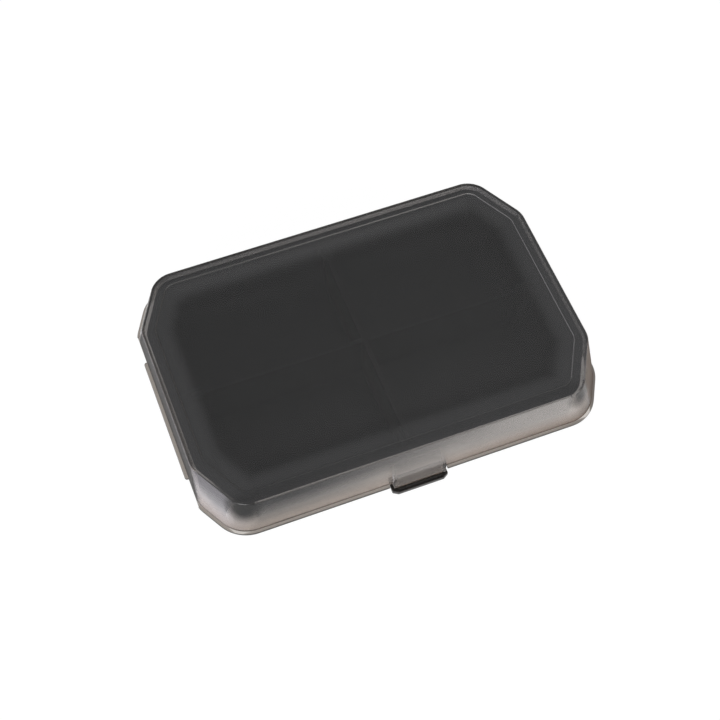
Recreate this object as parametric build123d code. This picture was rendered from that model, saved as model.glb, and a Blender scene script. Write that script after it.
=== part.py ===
"""Shallow octagonal tackle box: smoked lid on a rear hinge, black four-way tray, front latch.

Millimetres, +Z up, front towards -Y, origin at the centre of the flat underside.
Every outline is one rounded octagon, grown outwards (+) or inwards (-) from the lid's wall,
which leans out from its top edge to its foot and stays as wide below the foot.
"""
import os
from math import hypot

from build123d import *

# Outline of the lid's top edge
BOX_LENGTH = 200.0
BOX_DEPTH = 134.6
CORNER_X = 15.3
CORNER_Y = 28.0
CORNER_RADIUS = 13.0
LEAST_RADIUS = 0.8

# Foot of the lid's wall: how far the sides lean out to it, and its corner cuts
SIDE_LEAN = 1.0
LONG_LEAN = 3.6
FOOT_CORNER_X = 12.2
FOOT_CORNER_Y = 22.3

# Heights
BASE_HEIGHT = 16.5
LID_HEIGHT = 19.6
SEAT_GAP = 0.2

# Walls of the smoked lid and of the paler base
LID_WALL = 1.5
LID_EDGE_ROUND = 0.9
BASE_WALL = 1.6
BASE_FLOOR = 2.0
BASE_INSET = 9.0
BASE_DRAFT = 7.0
BASE_EDGE_ROUND = 0.8

# Base rim that carries the lid's foot, and its finger ledge on the left short side
RIM_REACH = 1.1
RIM_THICKNESS = 1.4
LEDGE_HALF = 34.0
LEDGE_EXTRA = 0.5
LEDGE_ROUND = 1.2

# Upstand on each short side of the base that locates the lid
UPSTAND_HALF = 30.0
UPSTAND_HEIGHT = 3.0
UPSTAND_WALL = 1.4
UPSTAND_FIT = 0.4

# Dished top of the lid: border, step, gutter, sloping band and centre panel
BORDER = 6.5
STEP_DEPTH = 0.6
STEP_RUN = 0.5
GUTTER = 4.0
BAND = 12.5
BAND_DROP = 2.4

# Black compartment tray
TRAY_WALL = 1.8
TRAY_FLOOR = 1.8
TRAY_FIT = 0.4
TRAY_SEAT = 0.1
TRAY_TOP_INSET = 3.4
TRAY_BEAD_REACH = 1.2
TRAY_BEAD_HEIGHT = 1.6
TRAY_TOP_GAP = 0.9
RIB_REACH = 1.6
RIB_WIDTH = 1.5

# Dividers that cross on the centre lines
DIVIDER = 2.6
DIVIDER_FIT = 0.2
DIVIDER_END_FIT = 0.4
DIVIDER_TOP_GAP = 1.2
LAP_FIT = 0.15

# Rear hinge: two stations, a base knuckle at each end of each and a lid knuckle between
HINGE_STATION = 52.0
HINGE_WIDTH = 32.0
BASE_KNUCKLE = 7.0
KNUCKLE_GAP = 0.35
KNUCKLE_RADIUS = 3.0
KNUCKLE_CLEAR = 0.4
HINGE_PIN_RADIUS = 1.25
HINGE_PIN_FIT = 0.06
HINGE_PIN_RECESS = 0.5
BASE_WEB_BITE = 1.5
LID_WEB_BITE = 1.2

# Front latch: hood moulded in the lid, clip on a cross pin, notch in the base rim
HOOD_WIDTH = 26.0
HOOD_REACH = 1.4
HOOD_SKIRT = 0.5
HOOD_WALL = 1.2
HOOD_SIDE = 1.6
HOOD_HEIGHT = 15.0
HOOD_SLOPE = 8.0
POCKET_PAST = 0.5
LUG_WIDTH = 3.0
LUG_WRAP = 0.9
LATCH_PIN_RADIUS = 0.8
LATCH_PIN_FIT = 0.05
LATCH_PIN_BITE = 2.4
PIVOT_RISE = 1.8
PIVOT_INSET = 2.5
CLIP_BARREL_RADIUS = 1.7
CLIP_SIDE_GAP = 0.3
CLIP_PLATE = 1.6
CLIP_PLATE_OFFSET = 0.2
CLIP_PLATE_RISE = 4.5
CLIP_RIM_GAP = 0.4
HOOK_BITE = 1.0
HOOK_LAND = 0.6
TAB_THICKNESS = 2.0
TAB_WIDTH = 28.0
TAB_REACH = 3.2
TAB_CORNER = 2.6
TAB_ROUND = 0.7
GROOVE_WIDTH = 0.9
GROOVE_DEPTH = 0.7
GROOVE_EDGE = 0.8
NOTCH_CLEAR = 0.5

# Derived heights
PARTING = BASE_HEIGHT
LID_FOOT = PARTING + SEAT_GAP
LID_TOP = PARTING + LID_HEIGHT
PANEL_TOP = LID_TOP - STEP_DEPTH - BAND_DROP
PANEL_UNDER = PANEL_TOP - LID_WALL
RIM_UNDER = PARTING - RIM_THICKNESS

# Derived half sizes at the lid's foot
FOOT_HALF_X = BOX_LENGTH / 2 + SIDE_LEAN
FOOT_HALF_Y = BOX_DEPTH / 2 + LONG_LEAN

# Derived growths of the outline
UPSTAND_OUTER = -(LID_WALL + UPSTAND_FIT)
BASE_OUTER_TOP = -BASE_INSET
BASE_OUTER_LOW = BASE_OUTER_TOP - BASE_DRAFT
BASE_INNER_TOP = BASE_OUTER_TOP - BASE_WALL
BASE_INNER_LOW = BASE_OUTER_LOW - BASE_WALL
BASE_SLOPE = BASE_DRAFT / BASE_HEIGHT
BASE_INNER_FLOOR = BASE_INNER_LOW + BASE_SLOPE * BASE_FLOOR

# Tray levels
TRAY_LOW = BASE_FLOOR + TRAY_SEAT
TRAY_TOP = LID_TOP - STEP_DEPTH - LID_WALL - TRAY_TOP_GAP
TRAY_OUTER_LOW = BASE_INNER_FLOOR - TRAY_FIT
TRAY_OUTER_TOP = BASE_INNER_TOP - TRAY_FIT
TRAY_INSIDE_FLOOR = TRAY_LOW + TRAY_FLOOR
DIVIDER_TOP = PANEL_UNDER - DIVIDER_TOP_GAP
LAP_Z = (TRAY_INSIDE_FLOOR + DIVIDER_TOP) / 2

# Hinge axis
RIM_BACK = FOOT_HALF_Y + RIM_REACH
HINGE_Y = RIM_BACK + KNUCKLE_RADIUS + KNUCKLE_CLEAR
HINGE_Z = PARTING

# Latch pivot and the faces around it
RIM_FRONT = -RIM_BACK
HOOD_FRONT = RIM_FRONT - HOOD_REACH
HOOD_FOOT = LID_FOOT - HOOD_SKIRT
HOOD_INNER = HOOD_FRONT + HOOD_WALL
PIVOT_Y = HOOD_INNER + PIVOT_INSET
PIVOT_Z = LID_FOOT + PIVOT_RISE
PLATE_INNER = PIVOT_Y + CLIP_PLATE_OFFSET
PLATE_OUTER = PLATE_INNER - CLIP_PLATE
NOTCH_Y = PIVOT_Y + HOOK_LAND
TAB_TOP = RIM_UNDER - CLIP_RIM_GAP
TAB_LOW = TAB_TOP - TAB_THICKNESS
TAB_OUTER = RIM_FRONT - TAB_REACH
POCKET_HALF = HOOD_WIDTH / 2 - HOOD_SIDE
CLIP_HALF = POCKET_HALF - CLIP_SIDE_GAP
NOTCH_HALF = TAB_WIDTH / 2 + NOTCH_CLEAR


def block(x, y, z):
    """Box between the given (low, high) pairs along X, Y and Z."""
    return Pos((x[0] + x[1]) / 2, (y[0] + y[1]) / 2, (z[0] + z[1]) / 2) * Box(
        x[1] - x[0], y[1] - y[0], z[1] - z[0]
    )


def rod(radius, x, y, z):
    """Round bar along X between the given (low, high) ends."""
    return Pos((x[0] + x[1]) / 2, y, z) * Rot(0, 90, 0) * Cylinder(radius, x[1] - x[0])


def outline(grow, z, wall_z=None):
    """Rounded octagon at height z: the lid's wall as it is at height wall_z, grown by grow."""
    rise = ((z if wall_z is None else wall_z) - PARTING) / LID_HEIGHT
    down = 1 - min(max(rise, 0), 1)
    half_x = BOX_LENGTH / 2 + SIDE_LEAN * down + grow
    half_y = BOX_DEPTH / 2 + LONG_LEAN * down + grow
    cut_x = CORNER_X + (FOOT_CORNER_X - CORNER_X) * down
    cut_y = CORNER_Y + (FOOT_CORNER_Y - CORNER_Y) * down
    slant = hypot(cut_x, cut_y)
    flat_x = half_x - cut_x - grow * (1 - (slant - cut_x) / cut_y)
    flat_y = half_y - cut_y - grow * (1 - (slant - cut_y) / cut_x)
    quarter = [(half_x, flat_y), (flat_x, half_y)]
    mirrored = [(-x, y) for x, y in reversed(quarter)]
    half = quarter + mirrored
    points = half + [(-x, -y) for x, y in half]
    face = make_face(Polyline(*points, close=True))
    radius = CORNER_RADIUS + LONG_LEAN * down + grow
    return Pos(0, 0, z) * fillet(face.vertices(), max(radius, LEAST_RADIUS))


def slab(grow, low, high):
    """Straight-sided octagonal slab."""
    return extrude(outline(grow, low), high - low)


def tub(grow_low, low, grow_high, high, wall_z=None):
    """Octagonal block whose sides lean from one growth to another."""
    return loft([outline(grow_low, low, wall_z), outline(grow_high, high, wall_z)], ruled=True)


def base_rim():
    """Rim all round, cut back at both ends of the left short side to leave a finger ledge."""
    span = (RIM_UNDER, PARTING)
    rim = slab(RIM_REACH, *span) - slab(BASE_OUTER_TOP - BASE_WALL / 2, *span)
    flat_y = FOOT_HALF_Y - FOOT_CORNER_Y
    past_x = FOOT_HALF_X + RIM_REACH + LEDGE_EXTRA
    for end in (-1, 1):
        along = sorted((end * LEDGE_HALF, end * (flat_y + RIM_REACH)))
        rim -= block((-past_x, -FOOT_HALF_X), along, span)
    ledge = block((-past_x, LID_WALL - FOOT_HALF_X), (-LEDGE_HALF, LEDGE_HALF), span)
    corners = ledge.edges().filter_by(Axis.Z).sort_by(Axis.X)[:2]
    return rim + fillet(corners, LEDGE_ROUND)


def hinge_stations():
    """Low and high X of the two hinge stations."""
    return [(side * HINGE_STATION - HINGE_WIDTH / 2, side * HINGE_STATION + HINGE_WIDTH / 2)
            for side in (-1, 1)]


def base_shell():
    """Lower shell: leaning walls, rim, upstand, hinge knuckles, latch notch."""
    outer = tub(BASE_OUTER_LOW, 0, BASE_OUTER_TOP, PARTING)
    outer = fillet(outer.faces().sort_by(Axis.Z)[0].edges(), BASE_EDGE_ROUND)
    shell = outer + base_rim() - tub(BASE_INNER_FLOOR, BASE_FLOOR, BASE_INNER_TOP, PARTING)
    upstand_top = PARTING + UPSTAND_HEIGHT
    upstand = tub(UPSTAND_OUTER, PARTING, UPSTAND_OUTER, upstand_top)
    inner = UPSTAND_OUTER - UPSTAND_WALL
    upstand -= tub(inner, PARTING, inner, upstand_top)
    shell += upstand & block((-FOOT_HALF_X, FOOT_HALF_X), (-UPSTAND_HALF, UPSTAND_HALF),
                             (PARTING, upstand_top))
    shell -= block((-NOTCH_HALF, NOTCH_HALF), (RIM_FRONT - LEDGE_EXTRA, NOTCH_Y),
                   (RIM_UNDER, PARTING))
    for low, high in hinge_stations():
        for span in ((low, low + BASE_KNUCKLE), (high - BASE_KNUCKLE, high)):
            knuckle = rod(KNUCKLE_RADIUS, span, HINGE_Y, HINGE_Z)
            knuckle += block(span, (RIM_BACK - BASE_WEB_BITE, HINGE_Y),
                             (HINGE_Z - KNUCKLE_RADIUS, HINGE_Z))
            shell += knuckle
        shell -= rod(HINGE_PIN_RADIUS, (low, high), HINGE_Y, HINGE_Z)
    return shell


def hinge_pin(station):
    """Steel hinge pin, a little short of its knuckles at both ends."""
    low, high = station
    return rod(HINGE_PIN_RADIUS, (low + HINGE_PIN_RECESS, high - HINGE_PIN_RECESS),
               HINGE_Y, HINGE_Z)


def dish(drop, spread):
    """Sunk top of the lid, lowered by drop and grown by spread."""
    step_low = LID_TOP - STEP_DEPTH - drop
    edge = spread - BORDER
    gutter = edge - STEP_RUN
    band = gutter - GUTTER
    step = tub(gutter, step_low, edge, step_low + STEP_DEPTH, LID_TOP)
    bowl = tub(band - BAND, step_low - BAND_DROP, band, step_low, LID_TOP)
    return step + bowl


def hood(half, wall, behind):
    """Bulge with a sloping top on the front wall, drawn in by wall, set this far into the lid."""
    top = LID_FOOT + HOOD_HEIGHT - wall
    lean = LONG_LEAN * (top - PARTING) / LID_HEIGHT
    side = Polyline(
        (HOOD_FRONT + wall, HOOD_FOOT),
        (HOOD_FRONT + wall, top - HOOD_SLOPE),
        (behind + lean - FOOT_HALF_Y, top),
        (behind - FOOT_HALF_Y, HOOD_FOOT),
        close=True,
    )
    return extrude(make_face(Plane.YZ * side), half, both=True)


def lid_shell():
    """Smoked lid: leaning walls, dished top, latch hood and hinge knuckles."""
    outer = tub(0, LID_FOOT, 0, LID_TOP)
    outer = fillet(outer.faces().sort_by(Axis.Z)[-1].edges(), LID_EDGE_ROUND)
    outer += hood(HOOD_WIDTH / 2, 0, LID_WALL / 2)
    hollow = tub(-LID_WALL, LID_FOOT, -LID_WALL, LID_TOP - LID_WALL)
    hollow -= dish(LID_WALL, LID_WALL / 2)
    lid = outer - dish(0, 0) - hollow - hood(POCKET_HALF, HOOD_WALL, LID_WALL + POCKET_PAST)
    lug_reach = LATCH_PIN_RADIUS + LUG_WRAP
    for side in (-1, 1):
        span = sorted((side * POCKET_HALF, side * (POCKET_HALF + LUG_WIDTH)))
        lug = block(span, (HOOD_INNER, PIVOT_Y + lug_reach), (LID_FOOT, PIVOT_Z + lug_reach))
        lid += lug & outer
        bite = sorted((side * POCKET_HALF, side * (POCKET_HALF + LATCH_PIN_BITE)))
        lid -= rod(LATCH_PIN_RADIUS, bite, PIVOT_Y, PIVOT_Z)
    for low, high in hinge_stations():
        span = (low + BASE_KNUCKLE + KNUCKLE_GAP, high - BASE_KNUCKLE - KNUCKLE_GAP)
        lid += rod(KNUCKLE_RADIUS, span, HINGE_Y, HINGE_Z)
        lid += block(span, (FOOT_HALF_Y - LID_WEB_BITE, HINGE_Y),
                     (LID_FOOT, HINGE_Z + KNUCKLE_RADIUS))
        lid -= rod(HINGE_PIN_RADIUS + HINGE_PIN_FIT, (low, high), HINGE_Y, HINGE_Z)
    return lid


def latch_pin():
    """Steel cross pin that the clip turns on."""
    half = POCKET_HALF + LATCH_PIN_BITE
    return rod(LATCH_PIN_RADIUS, (-half, half), PIVOT_Y, PIVOT_Z)


def latch_clip():
    """Black clip: plate in the hood, barrel on the pin, hook under the rim, thumb tab."""
    span = (-CLIP_HALF, CLIP_HALF)
    clip = rod(CLIP_BARREL_RADIUS, span, PIVOT_Y, PIVOT_Z)
    clip += block(span, (PLATE_OUTER, PLATE_INNER), (TAB_LOW, PIVOT_Z + CLIP_PLATE_RISE))
    clip += block(span, (PLATE_OUTER, NOTCH_Y + HOOK_BITE), (TAB_LOW, TAB_TOP))
    half = TAB_WIDTH / 2
    corner_y = RIM_FRONT - TAB_REACH / 2
    plan = Polyline(
        (-half, PLATE_INNER),
        (-half, corner_y),
        (-half + TAB_CORNER, TAB_OUTER),
        (half - TAB_CORNER, TAB_OUTER),
        (half, corner_y),
        (half, PLATE_INNER),
        close=True,
    )
    tab = extrude(Pos(0, 0, TAB_LOW) * make_face(plan), TAB_THICKNESS)
    outer_edges = tab.edges().filter_by(Axis.Z).sort_by(Axis.Y)[:4]
    tab = fillet(outer_edges, TAB_ROUND)
    groove_half = half - TAB_CORNER - GROOVE_EDGE
    groove_y = (TAB_OUTER + GROOVE_EDGE, TAB_OUTER + GROOVE_EDGE + GROOVE_WIDTH)
    tab -= block((-groove_half, groove_half), groove_y, (TAB_TOP - GROOVE_DEPTH, TAB_TOP))
    clip += tab
    clip -= rod(LATCH_PIN_RADIUS + LATCH_PIN_FIT, span, PIVOT_Y, PIVOT_Z)
    return clip


def tray_grow(z):
    """Growth of the tray's outer wall at height z under the parting."""
    lean = (z - TRAY_LOW) / (PARTING - TRAY_LOW)
    return TRAY_OUTER_LOW + (TRAY_OUTER_TOP - TRAY_OUTER_LOW) * lean


def tray_upper(grow):
    """Upper part of the tray, grown by grow: from the base's mouth to under the lid's border."""
    top = outline(grow - TRAY_TOP_INSET, TRAY_TOP, LID_TOP)
    return loft([outline(TRAY_OUTER_TOP + grow, PARTING), top], ruled=True)


def tray_hollow():
    """Space inside the tray's walls."""
    return tub(tray_grow(TRAY_INSIDE_FLOOR) - TRAY_WALL, TRAY_INSIDE_FLOOR,
               TRAY_OUTER_TOP - TRAY_WALL, PARTING) + tray_upper(-TRAY_WALL)


def divider_half(foot_half, grow):
    """Half of a divider's length where the tray's outer wall is at this growth."""
    return foot_half + grow - TRAY_WALL - DIVIDER_END_FIT


def divider_ribs():
    """Pairs of upright ribs that hold the divider ends, trimmed to the tray's inside."""
    gap = DIVIDER / 2 + DIVIDER_FIT
    upright = (TRAY_INSIDE_FLOOR, DIVIDER_TOP)
    low = tray_grow(TRAY_INSIDE_FLOOR) - RIB_REACH
    inner_x = divider_half(FOOT_HALF_X, low)
    inner_y = divider_half(FOOT_HALF_Y, low)
    ribs = Part()
    for side in (-1, 1):
        rib = sorted((side * gap, side * (gap + RIB_WIDTH)))
        for end in (-1, 1):
            along_x = sorted((end * inner_x, end * BOX_LENGTH / 2))
            along_y = sorted((end * inner_y, end * BOX_DEPTH / 2))
            ribs += block(along_x, rib, upright)
            ribs += block(rib, along_y, upright)
    return ribs & tray_hollow()


def compartment_tray():
    """Black tray that stands in the base and rises to just under the lid's border."""
    tray = tub(TRAY_OUTER_LOW, TRAY_LOW, TRAY_OUTER_TOP, PARTING) + tray_upper(0)
    bead = outline(TRAY_BEAD_REACH - TRAY_TOP_INSET, TRAY_TOP - TRAY_BEAD_HEIGHT, LID_TOP)
    tray += extrude(bead, TRAY_BEAD_HEIGHT)
    return tray - tray_hollow() + divider_ribs()


def divider_plate(foot_half):
    """Upright plate across the tray along X, as wide as the leaning walls leave."""
    half_top = divider_half(foot_half, TRAY_OUTER_TOP)
    half_low = divider_half(foot_half, tray_grow(TRAY_INSIDE_FLOOR))
    side = Polyline(
        (-half_low, TRAY_INSIDE_FLOOR),
        (half_low, TRAY_INSIDE_FLOOR),
        (half_top, PARTING),
        (half_top, DIVIDER_TOP),
        (-half_top, DIVIDER_TOP),
        (-half_top, PARTING),
        close=True,
    )
    return extrude(make_face(Plane.XZ * side), DIVIDER / 2, both=True)


def lap(z):
    """Notch where the two dividers cross, between the given (low, high) heights."""
    half = DIVIDER / 2 + LAP_FIT
    return block((-half, half), (-DIVIDER, DIVIDER), z)


def long_divider():
    """Divider along the box, notched from above for the short one."""
    return divider_plate(FOOT_HALF_X) - lap((LAP_Z, DIVIDER_TOP))


def short_divider():
    """Divider across the box, notched from below to straddle the long one."""
    return Rot(0, 0, 90) * (divider_plate(FOOT_HALF_Y) - lap((TRAY_INSIDE_FLOOR, LAP_Z)))


left_station, right_station = hinge_stations()
nodes = {
    "base_shell": base_shell(),
    "compartment_tray": compartment_tray(),
    "long_divider": long_divider(),
    "short_divider": short_divider(),
    "lid_shell": lid_shell(),
    "hinge_pin_left": hinge_pin(left_station),
    "hinge_pin_right": hinge_pin(right_station),
    "latch_clip": latch_clip(),
    "latch_pin": latch_pin(),
}

os.makedirs("parts", exist_ok=True)
for name, solid in nodes.items():
    export_step(solid, f"parts/{name}.step")
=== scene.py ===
import math

import bmesh
import bpy
from mathutils import Matrix, Vector


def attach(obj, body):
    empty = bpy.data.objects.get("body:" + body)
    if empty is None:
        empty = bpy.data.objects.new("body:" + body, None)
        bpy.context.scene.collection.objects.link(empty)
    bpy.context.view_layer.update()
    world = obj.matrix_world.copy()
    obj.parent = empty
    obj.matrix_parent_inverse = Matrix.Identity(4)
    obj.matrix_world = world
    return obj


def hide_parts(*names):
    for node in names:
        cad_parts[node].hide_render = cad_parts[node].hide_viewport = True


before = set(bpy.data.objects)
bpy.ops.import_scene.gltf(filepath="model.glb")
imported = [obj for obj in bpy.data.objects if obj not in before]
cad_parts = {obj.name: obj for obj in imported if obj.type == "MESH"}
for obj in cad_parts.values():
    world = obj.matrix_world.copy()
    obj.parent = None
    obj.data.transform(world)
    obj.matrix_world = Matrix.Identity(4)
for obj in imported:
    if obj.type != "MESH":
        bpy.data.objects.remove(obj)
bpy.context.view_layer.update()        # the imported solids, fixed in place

bl_info = {
    "name": "Tackle Box",
    "version": (1, 0, 0),
    "blender": (4, 5, 0),
    "location": "3D Viewport > Sidebar > Tackle Box",
    "description": "Smoked octagonal tackle box with a black divided tray and a snap latch",
    "category": "Add Mesh",
}

MM = 0.001

# The photograph's frame and the camera that its straight edges give, in the part's own frame
FRAME_PX = 720
SENSOR_MM = 36.0
FOCAL_PX = 1533.8
EYE = Vector((-0.14090, -0.36984, 0.65668))
VIEW_RIGHT = Vector((0.93494, -0.35481, -0.00260))
VIEW_UP = Vector((0.30368, 0.79636, 0.52306))
NEAR_LIMIT, FAR_LIMIT = 0.05, 20.0

# Lamps: where each stands and how wide it is, in metres
KEY_LAMP = (-0.9, -1.0, 0.5), 0.8
TOP_LAMP = (0.25, 0.18, 1.2), 0.5
FILL_LAMP = (0.9, -1.0, 0.45), 0.7

# White table: its own grey takes the shadow, a glow makes it white where it is seen
TABLE_GREY = "#E4E4E4"
TABLE_GLOW = 1.05
GLOW_SHARE = 0.93

# Sockets of a Mix node by number, because several share a name
FACTOR, NUMBER_A, NUMBER_B, COLOUR_A, COLOUR_B = 0, 2, 3, 6, 7
MIXED_NUMBER, MIXED_COLOUR = 0, 2

# Ramps over the lid: each runs along a place or a facing of its surface, or an earlier ramp,
# from a start to an end, and has its first value up to the start and its last past the end
LID_RAMPS = {
    "level top": ("level", 0.7, 0.92, 0.0, 1.0),
    "over the foot": ("Z", 22 * MM, 28 * MM, 0.0, 1.0),
    "border": ("Z", 34.4 * MM, 35.6 * MM, 0.0, 1.0),
    "side": ("facing right", -1.0, 1.0, 0.0, 1.0),
    "towards the right": ("X", -20 * MM, 90 * MM, 0.0, 1.0),
    "off the foot": ("Z", 17 * MM, 26 * MM, 0.0, 1.0),
    "front wall": ("facing back", -0.6, -0.9, 0.0, 1.0),
    "towards the left": ("X", 50 * MM, -60 * MM, 0.0, 1.0),
    "upper wall": ("Z", 25 * MM, 33 * MM, 0.0, 1.0),
    "left of front": ("facing right", -0.6, -0.85, 0.0, 1.0),
    "off the left wall": ("facing right", -0.98, -0.93, 0.0, 1.0),
    "behind the hood": ("Y", -73.2 * MM, -72.6 * MM, 0.0, 1.0),
    "corner setback": ("X", -20 * MM, 90 * MM, 0.0, 2 * MM),
    "wall clearness": ("X", -60 * MM, 90 * MM, 0.9, 0.74),
    "panel clearness": ("Y", 48 * MM, 58 * MM, 0.985, 0.955),
    "border clearness": ("sideways", 58 * MM, 63 * MM, 0.895, 0.945),
    "left wall roughness": ("facing right", -0.95, -0.985, 0.25, 0.65),
    "right facet roughness": ("facing right", 0.7, 0.85, 0.25, 0.65),
}

# Masks on the lid, each made of the ramps that have to meet there
LID_MASKS = {
    "top": ("level top", "over the foot"),
    # Painted shade high on the front wall's left part
    "upper_shade": ("front wall", "towards the left", "upper wall"),
    "left facets": ("left of front", "off the left wall"),
    # Painted light on the upper left facets
    "upper left facets": ("left facets", "upper wall"),
}

# Colours of the lid, mostly painted light and shade: its walls from the left end's facing to the
# right end's, then each place
SIDE_LIGHT_AND_SHADE = ((0.01, "#5C5C60"), (0.04, "#FAF8FF"), (0.2, "#F8F5F8"), (0.45, "#EEE9E6"),
              (0.6, "#EAE4E0"), (0.93, "#967F6C"))
# Painted shade at the foot of the lid's walls: darker and warmer downwards, browner towards the
# right
FOOT_SHADE_LEFT, FOOT_SHADE_RIGHT, NO_TINT = "#DED4CC", "#A69486", "#FFFFFF"
# Painted shade high on the front's left part, painted light on the upper left facets, and the
# painted shade of the tray's front corners
UPPER_SHADE, FACET_LIGHT, CORNER_SHADE = "#525256", "#B8B4BC", "#1E1C1B"
# Painted shade on the top: darker than the walls, darker still on the border
PANEL_SHADE, BORDER_SHADE = "#B6B6B8", "#A2A2A4"

# Tray's front corner behind the lid's wall, and how far off its shade starts to fade and is gone
TRAY_CORNER = 85 * MM, -67.5 * MM, 32.5 * MM
FADE_START, FADE_END = 4 * MM, 11 * MM

# Clearness lost on the left facets, clearness of the hood's front and of the corners' shade,
# and roughness of the top
FACET_LOSS = 0.2
CLEAREST = 0.98
TOP_ROUGHNESS = 0.15

# Ramps over the base, its own pale colour and the painted grey shade of its walls and lip, and
# its lip past the lid's foot: the way each side of the lip faces and how far out it starts
BASE_RAMPS = {
    "flat": ("level", 0.4, 0.85, 0.0, 1.0),
    "right end": ("X", 70 * MM, 95 * MM, 0.0, 1.0),
    "clearness": ("flat", 0.0, 1.0, 0.94, 0.98),
    "roughness": ("flat", 0.0, 1.0, 0.5, 0.42),
}
# The base's own pale colour, then the painted grey shade of its walls
BASE_FLAT, BASE_WALL_SHADE = "#E6E2DE", "#7C7874"
# Painted grey shade on the lip past the lid's foot, darker on the right end
LIP_SHADE_LEFT, LIP_SHADE_RIGHT = "#A8A29C", "#7A746E"
LIP_SIDES = (((0, 1, 0), 70.2 * MM), ((1, 0, 0), 100.6 * MM), ((0.878, 0.479, 0), 111.3 * MM))
LIP_EDGE = 0.1 * MM

# Optics of the plastics: the bulk takes this much more of blue than of green, and twice that
# more than of red, and a skin tints the light that passes it into shadow
POLYPROPYLENE_IOR = 1.49
BLACK_IOR = 1.5
LID_BLUE_LOSS, BASE_BLUE_LOSS = 0.03, 0.08
SHADOW_TINT = "#F4F4F4"
TRAY_ROUGHNESS, CLIP_ROUGHNESS, ROUGHNESS_SPREAD = 0.5, 0.28, 0.05

# Steel of the pins
STEEL_GREY = "#B9BABC"
STEEL_ROUGHNESS = 0.25, 0.42

# Patchiness that moulding leaves: three patches to 50 mm of a shell, nine to 100 mm of black
SHELL_PATCH = 50 * MM / 3
BLACK_PATCH = 100 * MM / 9
PATCHINESS = 0.85, 1.15
PATCH_DETAIL = 3.0

# Grain of the moulds: about 0.1 mm wide, drawn three to six times coarser so that it shows
GRAIN_DETAIL = 2.0
SHELL_GRAIN, SHELL_GRAIN_DEPTH, SHELL_GRAIN_STRENGTH = 0.625 * MM, 0.02 * MM, 0.03
TRAY_GRAIN, TRAY_GRAIN_DEPTH = 0.35 * MM, 0.03 * MM
CLIP_GRAIN, CLIP_GRAIN_DEPTH = 0.5 * MM, 0.008 * MM
BLACK_GRAIN_STRENGTH = 0.2

# Lines that the drawing die leaves: about 0.02 mm wide, drawn coarser so that they show
LINE_LENGTH, LINE_WIDTH = 25 * MM, 0.25 * MM

# Merging of a solid's loose triangles, and the edges that are rounded
MERGE_REACH = 0.002 * MM
FLAT_WITHIN = math.radians(0.2)
SHARP_FROM = math.radians(50)
EDGE_SEGMENTS = 3
SHADING_WEIGHT = 80


class BoxFinish(bpy.types.PropertyGroup):
    """Colours and edge sizes of the box."""

    smoke: bpy.props.FloatProperty(
        name="Smoke", description="Share of light that 1 mm of the lid's plastic lets through",
        default=0.84, min=0.05, max=1.0, subtype="FACTOR")
    haze: bpy.props.FloatProperty(
        name="Base clearness",
        description="Share of light that 1 mm of the base's plastic lets through",
        default=0.86, min=0.05, max=1.0, subtype="FACTOR")
    tray: bpy.props.StringProperty(
        name="Tray colour", description="Black of the tray and dividers, sRGB", default="#1E1E20")
    latch: bpy.props.StringProperty(
        name="Latch colour", description="Black of the latch clip, sRGB", default="#2A2826")
    edge: bpy.props.FloatProperty(
        name="Moulded edge", description="Radius of the shells' moulded edges",
        default=0.3 * MM, unit="LENGTH")
    tray_edge: bpy.props.FloatProperty(
        name="Tray edge", description="Radius of the tray's and dividers' edges",
        default=0.35 * MM, unit="LENGTH")
    latch_edge: bpy.props.FloatProperty(
        name="Latch edge", description="Radius of the latch clip's edges",
        default=0.2 * MM, unit="LENGTH")


class BoxStage(bpy.types.PropertyGroup):
    """Floor, lamps and surroundings."""

    floor_half: bpy.props.FloatProperty(
        name="Floor half width", description="Half the width of the white table",
        default=3.0, unit="LENGTH")
    key_watts: bpy.props.FloatProperty(
        name="Key lamp", description="Power of the large soft lamp", default=12.0, unit="POWER")
    top_watts: bpy.props.FloatProperty(
        name="Top lamp", description="Power of the small lamp overhead", default=0.6,
        unit="POWER")
    fill_watts: bpy.props.FloatProperty(
        name="Fill lamp", description="Power of the low front lamp", default=5.0, unit="POWER")
    sky: bpy.props.FloatProperty(
        name="Surroundings", description="Brightness of the room above the table", default=0.45)


def linear(code):
    """Linear RGBA of an sRGB hex colour."""
    parts = [int(code[i:i + 2], 16) / 255 for i in (1, 3, 5)]
    return [c / 12.92 if c <= 0.04045 else ((c + 0.055) / 1.055) ** 2.4 for c in parts] + [1.0]


def add(tree, kind, inputs=None, **settings):
    """Adds a node: settings are its own fields, inputs its sockets' values or what feeds them."""
    node = tree.nodes.new(kind)
    for name, value in settings.items():
        setattr(node, name, value)
    for name, source in (inputs or {}).items():
        if isinstance(source, bpy.types.NodeSocket):
            tree.links.new(source, node.inputs[name])
        else:
            node.inputs[name].default_value = source
    return node


def new_material(name):
    """An empty material with its tree and output."""
    material = bpy.data.materials.new(name)
    material.use_nodes = True
    material.node_tree.nodes.clear()
    return material, material.node_tree, add(material.node_tree, "ShaderNodeOutputMaterial")


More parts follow.
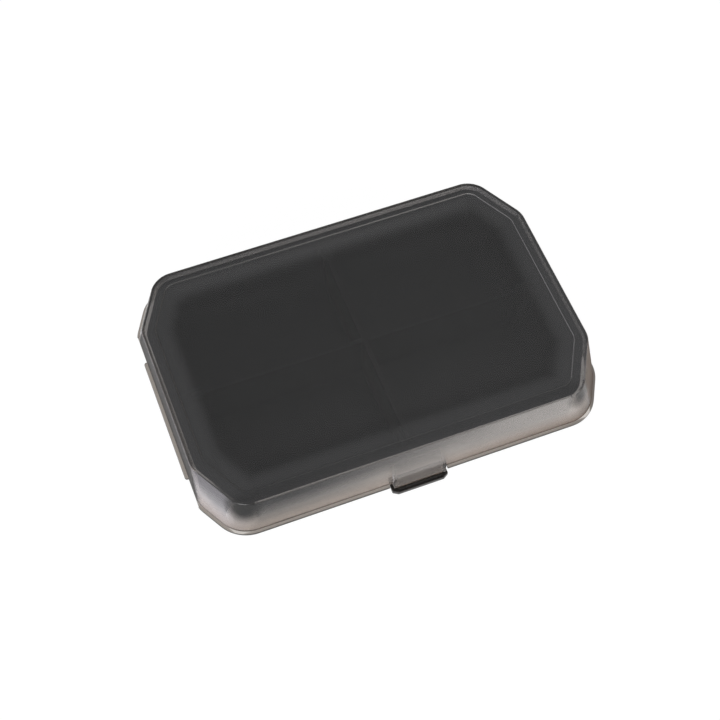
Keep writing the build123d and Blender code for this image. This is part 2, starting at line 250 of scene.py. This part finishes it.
def smoked_skin(tree, here):
    """Colour of the lid with its painted light and shade, the share of light that passes it and
    its roughness.

    The top reads black, a little paler on its border; its colour is a painted shade, darker than
    the walls'. The walls let the table through, with painted light and shade: palest on the left
    facets, brown on the right ones, warmer and darker at the foot, dark high on the front's left
    part, and dark where the tray's front corners stand close behind.
    """
    for mask, ramps in LID_MASKS.items():
        here[mask] = 1.0
        for ramp in ramps:
            here[mask] = add(tree, "ShaderNodeMath", {0: here[mask], 1: here[ramp]},
                             operation="MULTIPLY").outputs[0]

    # Shade of the tray's front corners, a little smaller on the right: 0 in it, 1 past it
    reach = add(tree, "ShaderNodeVectorMath", {0: here["front quarters"], 1: TRAY_CORNER},
                operation="DISTANCE").outputs["Value"]
    reach = add(tree, "ShaderNodeMath", {0: reach, 1: here["corner setback"]},
                operation="ADD").outputs[0]
    lit = add(tree, "ShaderNodeMapRange", {
        "Value": reach, "From Min": FADE_START, "From Max": FADE_END}).outputs["Result"]

    # Walls: painted light and shade by side, a painted shade towards the foot, then painted shade
    # high on the front's left part, painted light on the upper left facets, and the corners'
    # painted shade
    # Painted light and shade by facing: near black on the left end, brown on the right facets
    sides = add(tree, "ShaderNodeValToRGB", {"Fac": here["side"]})
    stops = sides.color_ramp.elements
    stops[0].position, stops[1].position = SIDE_LIGHT_AND_SHADE[0][0], SIDE_LIGHT_AND_SHADE[-1][0]
    for position, _ in SIDE_LIGHT_AND_SHADE[1:-1]:
        stops.new(position)
    for stop, (_, colour) in zip(stops, SIDE_LIGHT_AND_SHADE):
        stop.color = linear(colour)
    # Painted shade at the foot: darker and warmer, browner towards the right
    foot_shade_colour = add(tree, "ShaderNodeMix", {
        FACTOR: here["towards the right"], COLOUR_A: linear(FOOT_SHADE_LEFT),
        COLOUR_B: linear(FOOT_SHADE_RIGHT)}, data_type="RGBA").outputs[MIXED_COLOUR]
    foot = add(tree, "ShaderNodeMix", {
        FACTOR: here["off the foot"], COLOUR_A: foot_shade_colour, COLOUR_B: linear(NO_TINT)},
        data_type="RGBA").outputs[MIXED_COLOUR]
    walls = add(tree, "ShaderNodeMix", {
        FACTOR: 1.0, COLOUR_A: sides.outputs["Color"], COLOUR_B: foot}, data_type="RGBA",
        blend_type="MULTIPLY").outputs[MIXED_COLOUR]
    # Painted shade high on the front wall's left part, then painted light on the upper left
    # facets
    for mask, tint_and_shading in (("upper_shade", UPPER_SHADE), ("upper left facets", FACET_LIGHT)):
        walls = add(tree, "ShaderNodeMix", {
            FACTOR: here[mask], COLOUR_A: walls, COLOUR_B: linear(tint_and_shading)},
            data_type="RGBA").outputs[MIXED_COLOUR]
    walls = add(tree, "ShaderNodeMix", {
        FACTOR: lit, COLOUR_A: linear(CORNER_SHADE), COLOUR_B: walls},
        data_type="RGBA").outputs[MIXED_COLOUR]
    # Top: a painted shade, darker than the walls and darker still on the border
    top = add(tree, "ShaderNodeMix", {
        FACTOR: here["border"], COLOUR_A: linear(PANEL_SHADE), COLOUR_B: linear(BORDER_SHADE)},
        data_type="RGBA").outputs[MIXED_COLOUR]
    tint_and_shading = add(tree, "ShaderNodeMix", {FACTOR: here["top"], COLOUR_A: walls, COLOUR_B: top},
               data_type="RGBA").outputs[MIXED_COLOUR]

    # Clearness: haziest at the right end and on the left facets, clearest in the corners'
    # shade and on the hood's front
    hazy = add(tree, "ShaderNodeMath", {
        0: here["left facets"], 1: -FACET_LOSS, 2: here["wall clearness"]},
        operation="MULTIPLY_ADD").outputs[0]
    plain = add(tree, "ShaderNodeMath", {0: lit, 1: here["behind the hood"]},
                operation="MULTIPLY").outputs[0]
    walls_clear = add(tree, "ShaderNodeMix", {
        FACTOR: plain, NUMBER_A: CLEAREST, NUMBER_B: hazy},
        data_type="FLOAT").outputs[MIXED_NUMBER]
    top_clear = add(tree, "ShaderNodeMix", {
        FACTOR: here["border"], NUMBER_A: here["panel clearness"],
        NUMBER_B: here["border clearness"]}, data_type="FLOAT").outputs[MIXED_NUMBER]
    clearness = add(tree, "ShaderNodeMix", {
        FACTOR: here["top"], NUMBER_A: walls_clear, NUMBER_B: top_clear},
        data_type="FLOAT").outputs[MIXED_NUMBER]

    # Roughness: the left wall and the right facets are the dullest, the top is polished
    dullest = add(tree, "ShaderNodeMath", {
        0: here["left wall roughness"], 1: here["right facet roughness"]},
        operation="MAXIMUM").outputs[0]
    roughness = add(tree, "ShaderNodeMix", {
        FACTOR: here["top"], NUMBER_A: dullest, NUMBER_B: TOP_ROUGHNESS},
        data_type="FLOAT").outputs[MIXED_NUMBER]
    return tint_and_shading, clearness, roughness


def hazy_skin(tree, here):
    """Tint of the base, the share of light that passes it and its roughness.

    Its walls and its lip past the lid's foot get a painted grey shade for being seen edge on,
    darker on the lip's right end.
    """
    lip = 0.0
    for facing, start in LIP_SIDES:
        reach = add(tree, "ShaderNodeVectorMath", {0: here["from the middle"], 1: facing},
                    operation="DOT_PRODUCT").outputs["Value"]
        past = add(tree, "ShaderNodeMapRange", {
            "Value": reach, "From Min": start, "From Max": start + LIP_EDGE}).outputs["Result"]
        lip = add(tree, "ShaderNodeMath", {0: lip, 1: past}, operation="MAXIMUM").outputs[0]
    # Painted shade on the lip, darker towards the right end
    edge = add(tree, "ShaderNodeMix", {
        FACTOR: here["right end"], COLOUR_A: linear(LIP_SHADE_LEFT), COLOUR_B: linear(LIP_SHADE_RIGHT)},
        data_type="RGBA").outputs[MIXED_COLOUR]
    flat = add(tree, "ShaderNodeMix", {
        FACTOR: lip, COLOUR_A: linear(BASE_FLAT), COLOUR_B: edge},
        data_type="RGBA").outputs[MIXED_COLOUR]
    # Painted grey shade on the walls, the base's own pale colour on its flat faces
    tint_and_shading = add(tree, "ShaderNodeMix", {
        FACTOR: here["flat"], COLOUR_A: linear(BASE_WALL_SHADE), COLOUR_B: flat},
        data_type="RGBA").outputs[MIXED_COLOUR]
    return tint_and_shading, here["clearness"], here["roughness"]


def see_through_plastic(name, clearness, blue_loss, ramps, skin):
    """Moulded polypropylene, see-through: milky, and never as sharp as glass.

    Its bulk takes light by the millimetre, and its finely grained skins blur what lies behind
    and spread the highlights.
    """
    material, tree, output = new_material(name)
    spot = add(tree, "ShaderNodeTexCoord")
    at = spot.outputs["Object"]
    middle = add(tree, "ShaderNodeVectorMath", {0: at}, operation="ABSOLUTE").outputs[0]
    place, apart, facing = [
        add(tree, "ShaderNodeSeparateXYZ", {"Vector": vector}).outputs
        for vector in (at, middle, spot.outputs["Normal"])]
    here = {
        "X": place["X"], "Y": place["Y"], "Z": place["Z"],
        "from the middle": middle,
        "sideways": apart["Y"],
        "front quarters": add(tree, "ShaderNodeCombineXYZ", {
            "X": apart["X"], "Y": place["Y"], "Z": place["Z"]}).outputs[0],
        "facing right": facing["X"], "facing back": facing["Y"],
        "level": add(tree, "ShaderNodeMath", {0: facing["Z"]}, operation="ABSOLUTE").outputs[0],
    }
    for ramp, (along, start, end, first, last) in ramps.items():
        here[ramp] = add(tree, "ShaderNodeMapRange", {
            "Value": here[along], "From Min": start, "From Max": end,
            "To Min": first, "To Max": last}).outputs["Result"]
    tint_and_shading, passing, blur = skin(tree, here)

    patches = add(tree, "ShaderNodeTexNoise", {
        "Vector": at, "Scale": 1 / SHELL_PATCH, "Detail": PATCH_DETAIL})
    uneven = add(tree, "ShaderNodeMapRange", {
        "Value": patches.outputs["Fac"], "To Min": PATCHINESS[0], "To Max": PATCHINESS[1]})
    roughness = add(tree, "ShaderNodeMath", {0: uneven.outputs["Result"], 1: blur},
                    operation="MULTIPLY")
    grain = add(tree, "ShaderNodeTexNoise", {
        "Vector": at, "Scale": 1 / SHELL_GRAIN, "Detail": GRAIN_DETAIL})
    bump = add(tree, "ShaderNodeBump", {
        "Height": grain.outputs["Fac"], "Strength": SHELL_GRAIN_STRENGTH,
        "Distance": SHELL_GRAIN_DEPTH})
    seen = add(tree, "ShaderNodeBsdfPrincipled", {
        "Base Color": tint_and_shading, "Roughness": roughness.outputs[0], "Normal": bump.outputs["Normal"],
        "Transmission Weight": passing, "IOR": POLYPROPYLENE_IOR})
    shadow = add(tree, "ShaderNodeBsdfTransparent", {"Color": linear(SHADOW_TINT)})
    path = add(tree, "ShaderNodeLightPath")
    surface = add(tree, "ShaderNodeMixShader", {
        0: path.outputs["Is Shadow Ray"], 1: seen.outputs[0], 2: shadow.outputs[0]})
    tree.links.new(surface.outputs[0], output.inputs["Surface"])
    bulk = add(tree, "ShaderNodeVolumeAbsorption", {
        "Color": (2 * blue_loss, blue_loss, 0.0, 1.0), "Density": -math.log(clearness) / MM})
    tree.links.new(bulk.outputs[0], output.inputs["Volume"])
    return material


def black_plastic(name, colour, roughness, grain_width, grain_depth):
    """Black moulded plastic: the mould's even grain spreads highlights, its black is patchy."""
    material, tree, output = new_material(name)
    at = add(tree, "ShaderNodeTexCoord").outputs["Object"]
    patches = add(tree, "ShaderNodeTexNoise", {
        "Vector": at, "Scale": 1 / BLACK_PATCH, "Detail": PATCH_DETAIL}).outputs["Fac"]
    rough = add(tree, "ShaderNodeMapRange", {
        "Value": patches, "To Min": roughness - ROUGHNESS_SPREAD,
        "To Max": roughness + ROUGHNESS_SPREAD})
    uneven = add(tree, "ShaderNodeMapRange", {
        "Value": patches, "To Min": PATCHINESS[0], "To Max": PATCHINESS[1]})
    tone = add(tree, "ShaderNodeVectorMath", {
        0: linear(colour)[:3], 1: uneven.outputs["Result"]}, operation="MULTIPLY")
    grain = add(tree, "ShaderNodeTexNoise", {
        "Vector": at, "Scale": 1 / grain_width, "Detail": GRAIN_DETAIL})
    bump = add(tree, "ShaderNodeBump", {
        "Height": grain.outputs["Fac"], "Strength": BLACK_GRAIN_STRENGTH,
        "Distance": grain_depth})
    skin = add(tree, "ShaderNodeBsdfPrincipled", {
        "Base Color": tone.outputs[0], "Roughness": rough.outputs["Result"],
        "Normal": bump.outputs["Normal"], "IOR": BLACK_IOR})
    tree.links.new(skin.outputs[0], output.inputs["Surface"])
    return material


def drawn_steel(name):
    """Plain drawn steel wire: a grey shine, broken by fine lines along the pin."""
    material, tree, output = new_material(name)
    at = add(tree, "ShaderNodeTexCoord").outputs["Object"]
    stretched = add(tree, "ShaderNodeMapping", {
        "Vector": at, "Scale": (1 / LINE_LENGTH, 1 / LINE_WIDTH, 1 / LINE_WIDTH)})
    lines = add(tree, "ShaderNodeTexNoise", {
        "Vector": stretched.outputs[0], "Scale": 1.0, "Detail": GRAIN_DETAIL})
    rough = add(tree, "ShaderNodeMapRange", {
        "Value": lines.outputs["Fac"], "To Min": STEEL_ROUGHNESS[0],
        "To Max": STEEL_ROUGHNESS[1]})
    steel = add(tree, "ShaderNodeBsdfPrincipled", {
        "Base Color": linear(STEEL_GREY), "Metallic": 1.0, "Roughness": rough.outputs["Result"]})
    tree.links.new(steel.outputs[0], output.inputs["Surface"])
    return material


def soft_moulding(node, piece, radius, body, material):
    """A merged copy of a solid with its sharp edges rounded, which stands for the solid."""
    form = bmesh.new()
    form.from_mesh(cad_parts[node].data)
    bmesh.ops.remove_doubles(form, verts=form.verts, dist=MERGE_REACH)
    bmesh.ops.dissolve_limit(form, angle_limit=FLAT_WITHIN, verts=form.verts, edges=form.edges,
                             use_dissolve_boundaries=False)
    sharp = [e for e in form.edges if e.is_convex and e.calc_face_angle(0) > SHARP_FROM]
    bmesh.ops.bevel(form, geom=sharp, offset=radius, offset_type="OFFSET",
                    segments=EDGE_SEGMENTS, profile=0.5, affect="EDGES", clamp_overlap=False,
                    material=-1)
    for face in form.faces:
        face.smooth = True
    mesh = bpy.data.meshes.new(piece)
    form.to_mesh(mesh)
    form.free()
    mesh.materials.append(material)
    made = bpy.data.objects.new(piece, mesh)
    bpy.context.scene.collection.objects.link(made)
    shading = made.modifiers.new("Even shading", "WEIGHTED_NORMAL")
    shading.keep_sharp = True
    shading.weight = SHADING_WEIGHT
    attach(made, body)
    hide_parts(node)


class BOX_OT_shells(bpy.types.Operator):
    """Make the smoked lid and the pale base"""
    bl_idname = "box.shells"
    bl_label = "Smoked shells"

    def execute(self, context):
        finish = context.scene.box_finish
        # Smoke-dyed and moulded: near black over the tray, grey to brown over the white table,
        # much of it painted light and shade
        smoked = see_through_plastic("Smoked polypropylene, moulded", finish.smoke,
                                     LID_BLUE_LOSS, LID_RAMPS, smoked_skin)
        # Undyed and moulded: pale and milky, with a painted grey shade where it is seen edge on
        hazy = see_through_plastic("Natural polypropylene, moulded", finish.haze,
                                   BASE_BLUE_LOSS, BASE_RAMPS, hazy_skin)
        soft_moulding("lid_shell", "lid", finish.edge, "lid", smoked)
        soft_moulding("base_shell", "base", finish.edge, "base", hazy)
        return {"FINISHED"}


class BOX_OT_tray(bpy.types.Operator):
    """Make the black tray and its two dividers"""
    bl_idname = "box.tray"
    bl_label = "Tray and dividers"

    def execute(self, context):
        finish = context.scene.box_finish
        # Moulded in a spark-eroded mould: matt black, with wide, soft highlights
        plastic = black_plastic("Black polypropylene, spark-eroded", finish.tray,
                                TRAY_ROUGHNESS, TRAY_GRAIN, TRAY_GRAIN_DEPTH)
        for node, piece in (("compartment_tray", "tray"), ("long_divider", "divider_long"),
                            ("short_divider", "divider_short")):
            soft_moulding(node, piece, finish.tray_edge, "base", plastic)
        return {"FINISHED"}


class BOX_OT_latch(bpy.types.Operator):
    """Make the latch clip and finish the steel pins"""
    bl_idname = "box.latch"
    bl_label = "Latch and pins"

    def execute(self, context):
        finish = context.scene.box_finish
        # Moulded in a smoother mould: slick satin black, with a narrower highlight
        plastic = black_plastic("Black acetal, moulded", finish.latch, CLIP_ROUGHNESS,
                                CLIP_GRAIN, CLIP_GRAIN_DEPTH)
        soft_moulding("latch_clip", "clip", finish.latch_edge, "latch", plastic)
        # Drawn through a die: bright grey, dulled by fine lines along the wire
        steel = drawn_steel("Drawn steel wire")
        for node in ("hinge_pin_left", "hinge_pin_right", "latch_pin"):
            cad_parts[node].data.materials.clear()
            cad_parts[node].data.materials.append(steel)
        return {"FINISHED"}


class BOX_OT_stage(bpy.types.Operator):
    """Set the table, lamps, surroundings and camera"""
    bl_idname = "box.stage"
    bl_label = "Stage"

    def execute(self, context):
        scene, stage = context.scene, context.scene.box_stage
        form = bmesh.new()
        bmesh.ops.create_grid(form, x_segments=1, y_segments=1, size=stage.floor_half)
        mesh = bpy.data.meshes.new("table")
        form.to_mesh(mesh)
        form.free()
        table = bpy.data.objects.new("table", mesh)
        scene.collection.objects.link(table)
        # Painted board: white wherever it is seen, grey only in the box's shadow
        material, tree, output = new_material("White table")
        matt = add(tree, "ShaderNodeBsdfDiffuse", {"Color": linear(TABLE_GREY)})
        white = add(tree, "ShaderNodeEmission", {"Strength": TABLE_GLOW})
        path = add(tree, "ShaderNodeLightPath").outputs
        seen = 0.0
        for ray in ("Is Camera Ray", "Is Glossy Ray", "Is Transmission Ray"):
            seen = add(tree, "ShaderNodeMath", {0: seen, 1: path[ray]},
                       operation="MAXIMUM").outputs[0]
        glow = add(tree, "ShaderNodeMath", {0: seen, 1: GLOW_SHARE}, operation="MULTIPLY")
        surface = add(tree, "ShaderNodeMixShader", {
            0: glow.outputs[0], 1: matt.outputs[0], 2: white.outputs[0]})
        tree.links.new(surface.outputs[0], output.inputs["Surface"])
        mesh.materials.append(material)

        world = bpy.data.worlds.new("Pale studio")
        world.use_nodes = True
        air = world.node_tree.nodes["Background"].inputs
        air["Color"].default_value = (1, 1, 1, 1)
        air["Strength"].default_value = stage.sky
        scene.world = world

        for name, (place, width), watts in (
                ("Key lamp", KEY_LAMP, stage.key_watts),
                ("Top lamp", TOP_LAMP, stage.top_watts),
                ("Fill lamp", FILL_LAMP, stage.fill_watts)):
            lamp = bpy.data.lights.new(name, "AREA")
            lamp.shape, lamp.size, lamp.energy = "DISK", width, watts
            holder = bpy.data.objects.new(name, lamp)
            scene.collection.objects.link(holder)
            holder.location = place
            holder.rotation_euler = (-Vector(place)).to_track_quat("-Z", "Y").to_euler()

        lens = bpy.data.cameras.new("Camera")
        lens.sensor_width = SENSOR_MM
        lens.lens = FOCAL_PX * SENSOR_MM / FRAME_PX
        lens.clip_start, lens.clip_end = NEAR_LIMIT, FAR_LIMIT
        camera = bpy.data.objects.new("Camera", lens)
        scene.collection.objects.link(camera)
        turn = Matrix((VIEW_RIGHT, VIEW_UP, VIEW_RIGHT.cross(VIEW_UP))).transposed().to_4x4()
        camera.matrix_world = Matrix.Translation(EYE) @ turn
        scene.camera = camera
        scene.view_settings.view_transform = "Standard"
        return {"FINISHED"}


class BOX_PT_panel(bpy.types.Panel):
    """Sizes, colours and steps of the tackle box"""
    bl_idname = "BOX_PT_panel"
    bl_label = "Tackle Box"
    bl_space_type = "VIEW_3D"
    bl_region_type = "UI"
    bl_category = "Tackle Box"

    def draw(self, context):
        for settings in (context.scene.box_finish, context.scene.box_stage):
            for field in settings.bl_rna.properties:
                if field.identifier not in ("rna_type", "name"):
                    self.layout.prop(settings, field.identifier)
        for step in STEPS:
            self.layout.operator(step.bl_idname)


STEPS = (BOX_OT_shells, BOX_OT_tray, BOX_OT_latch, BOX_OT_stage)
CLASSES = (BoxFinish, BoxStage, *STEPS, BOX_PT_panel)


def register():
    for each in CLASSES:
        bpy.utils.register_class(each)
    bpy.types.Scene.box_finish = bpy.props.PointerProperty(type=BoxFinish)
    bpy.types.Scene.box_stage = bpy.props.PointerProperty(type=BoxStage)


def unregister():
    del bpy.types.Scene.box_stage
    del bpy.types.Scene.box_finish
    for each in reversed(CLASSES):
        bpy.utils.unregister_class(each)


def main():
    """Registers the add-on and makes everything."""
    register()
    for step in STEPS:
        group, name = step.bl_idname.split(".")
        getattr(getattr(bpy.ops, group), name)()


if __name__ == "__main__":
    main()
